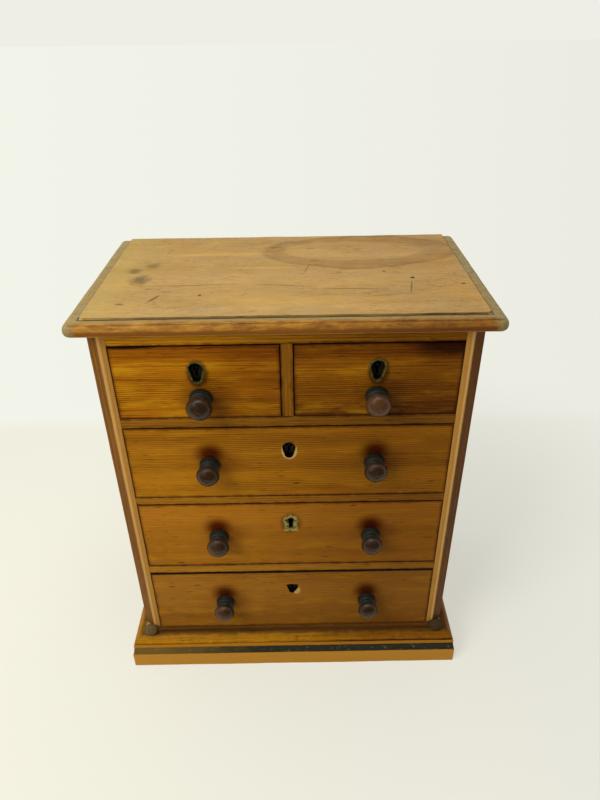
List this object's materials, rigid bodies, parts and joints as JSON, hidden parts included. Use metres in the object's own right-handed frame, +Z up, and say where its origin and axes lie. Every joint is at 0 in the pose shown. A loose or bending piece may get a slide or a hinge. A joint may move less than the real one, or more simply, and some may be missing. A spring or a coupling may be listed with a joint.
{
  "type": "miniature chest of drawers",
  "caption": "Free-standing miniature pine chest with sliding dovetailed drawers, turned knobs, drawer locks, a moulded top and a mitred plinth, for small tools and craft parts.",
  "frame": {"origin": "on the floor, in the middle of the box round the whole chest with its knobs", "axes": "+X to the viewer's right, +Y to the back, +Z up; the drawers open along -Y"},
  "size_m": [0.3052, 0.1854, 0.3605],
  "materials": {
    "carcase_pine": "aged shellac, worn",
    "worn_top_pine": "aged shellac, rubbed and stained",
    "drawer_front_pine": "aged shellac, worn",
    "drawer_box_pine": "bare",
    "unfinished_pine": "bare, dusty",
    "ebonised_wood": "black stain, rubbed",
    "turned_hardwood": "dark polish",
    "lock_brass": "tarnished",
    "lock_steel": "dull steel",
    "escutcheon_brass": "tarnished, dirty"
  },
  "bodies": {
    "carcase": {"back_boards": "unfinished_pine", "bottom_board": "carcase_pine", "centre_divider": "carcase_pine", "centre_guide": "unfinished_pine", "centre_runner": "unfinished_pine", "drawer_stops": "unfinished_pine", "frieze_rail": "carcase_pine", "glue_blocks": "unfinished_pine", "left_side": "carcase_pine", "lower_rail": "carcase_pine", "middle_rail": "carcase_pine", "plinth_back": "unfinished_pine", "plinth_band": "ebonised_wood", "plinth_front": "carcase_pine", "plinth_left": "carcase_pine", "plinth_right": "carcase_pine", "right_side": "carcase_pine", "side_runners": "unfinished_pine", "top_board": "worn_top_pine", "top_kickers": "unfinished_pine", "upper_rail": "carcase_pine"},
    "upper_left_drawer": {"upper_left_drawer_back": "drawer_box_pine", "upper_left_drawer_bottom": "drawer_box_pine", "upper_left_drawer_front": "drawer_front_pine", "upper_left_drawer_sides": "drawer_box_pine", "upper_left_escutcheon": "escutcheon_brass", "upper_left_knobs": "turned_hardwood", "upper_left_lock_case": "lock_brass"},
    "upper_left_bolt": {"upper_left_lock_bolt": "lock_steel"},
    "upper_right_drawer": {"upper_right_drawer_back": "drawer_box_pine", "upper_right_drawer_bottom": "drawer_box_pine", "upper_right_drawer_front": "drawer_front_pine", "upper_right_drawer_sides": "drawer_box_pine", "upper_right_escutcheon": "escutcheon_brass", "upper_right_knobs": "turned_hardwood", "upper_right_lock_case": "lock_brass"},
    "upper_right_bolt": {"upper_right_lock_bolt": "lock_steel"},
    "second_drawer": {"second_drawer_back": "drawer_box_pine", "second_drawer_bottom": "drawer_box_pine", "second_drawer_front": "drawer_front_pine", "second_drawer_sides": "drawer_box_pine", "second_knobs": "turned_hardwood", "second_lock_case": "lock_brass"},
    "second_bolt": {"second_lock_bolt": "lock_steel"},
    "third_drawer": {"third_drawer_back": "drawer_box_pine", "third_drawer_bottom": "drawer_box_pine", "third_drawer_front": "drawer_front_pine", "third_drawer_sides": "drawer_box_pine", "third_escutcheon": "escutcheon_brass", "third_knobs": "turned_hardwood", "third_lock_case": "lock_brass"},
    "third_bolt": {"third_lock_bolt": "lock_steel"},
    "bottom_drawer": {"bottom_drawer_back": "drawer_box_pine", "bottom_drawer_bottom": "drawer_box_pine", "bottom_drawer_front": "drawer_front_pine", "bottom_drawer_sides": "drawer_box_pine", "bottom_knobs": "turned_hardwood", "bottom_lock_case": "lock_brass"},
    "bottom_bolt": {"bottom_lock_bolt": "lock_steel"}
  },
  "joints": [
    {"name": "upper_left_drawer_slide", "type": "slide", "parent": "carcase", "child": "upper_left_drawer", "axis": [0, -1, 0], "range_m": [0, 0.12]},
    {"name": "upper_left_bolt_slide", "type": "slide", "parent": "upper_left_drawer", "child": "upper_left_bolt", "axis": [0, 0, 1], "range_m": [0, 0.004]},
    {"name": "upper_right_drawer_slide", "type": "slide", "parent": "carcase", "child": "upper_right_drawer", "axis": [0, -1, 0], "range_m": [0, 0.12]},
    {"name": "upper_right_bolt_slide", "type": "slide", "parent": "upper_right_drawer", "child": "upper_right_bolt", "axis": [0, 0, 1], "range_m": [0, 0.004]},
    {"name": "second_drawer_slide", "type": "slide", "parent": "carcase", "child": "second_drawer", "axis": [0, -1, 0], "range_m": [0, 0.12]},
    {"name": "second_bolt_slide", "type": "slide", "parent": "second_drawer", "child": "second_bolt", "axis": [0, 0, 1], "range_m": [0, 0.004]},
    {"name": "third_drawer_slide", "type": "slide", "parent": "carcase", "child": "third_drawer", "axis": [0, -1, 0], "range_m": [0, 0.12]},
    {"name": "third_bolt_slide", "type": "slide", "parent": "third_drawer", "child": "third_bolt", "axis": [0, 0, 1], "range_m": [0, 0.004]},
    {"name": "bottom_drawer_slide", "type": "slide", "parent": "carcase", "child": "bottom_drawer", "axis": [0, -1, 0], "range_m": [0, 0.12]},
    {"name": "bottom_bolt_slide", "type": "slide", "parent": "bottom_drawer", "child": "bottom_bolt", "axis": [0, 0, 1], "range_m": [0, 0.004]}
  ]
}
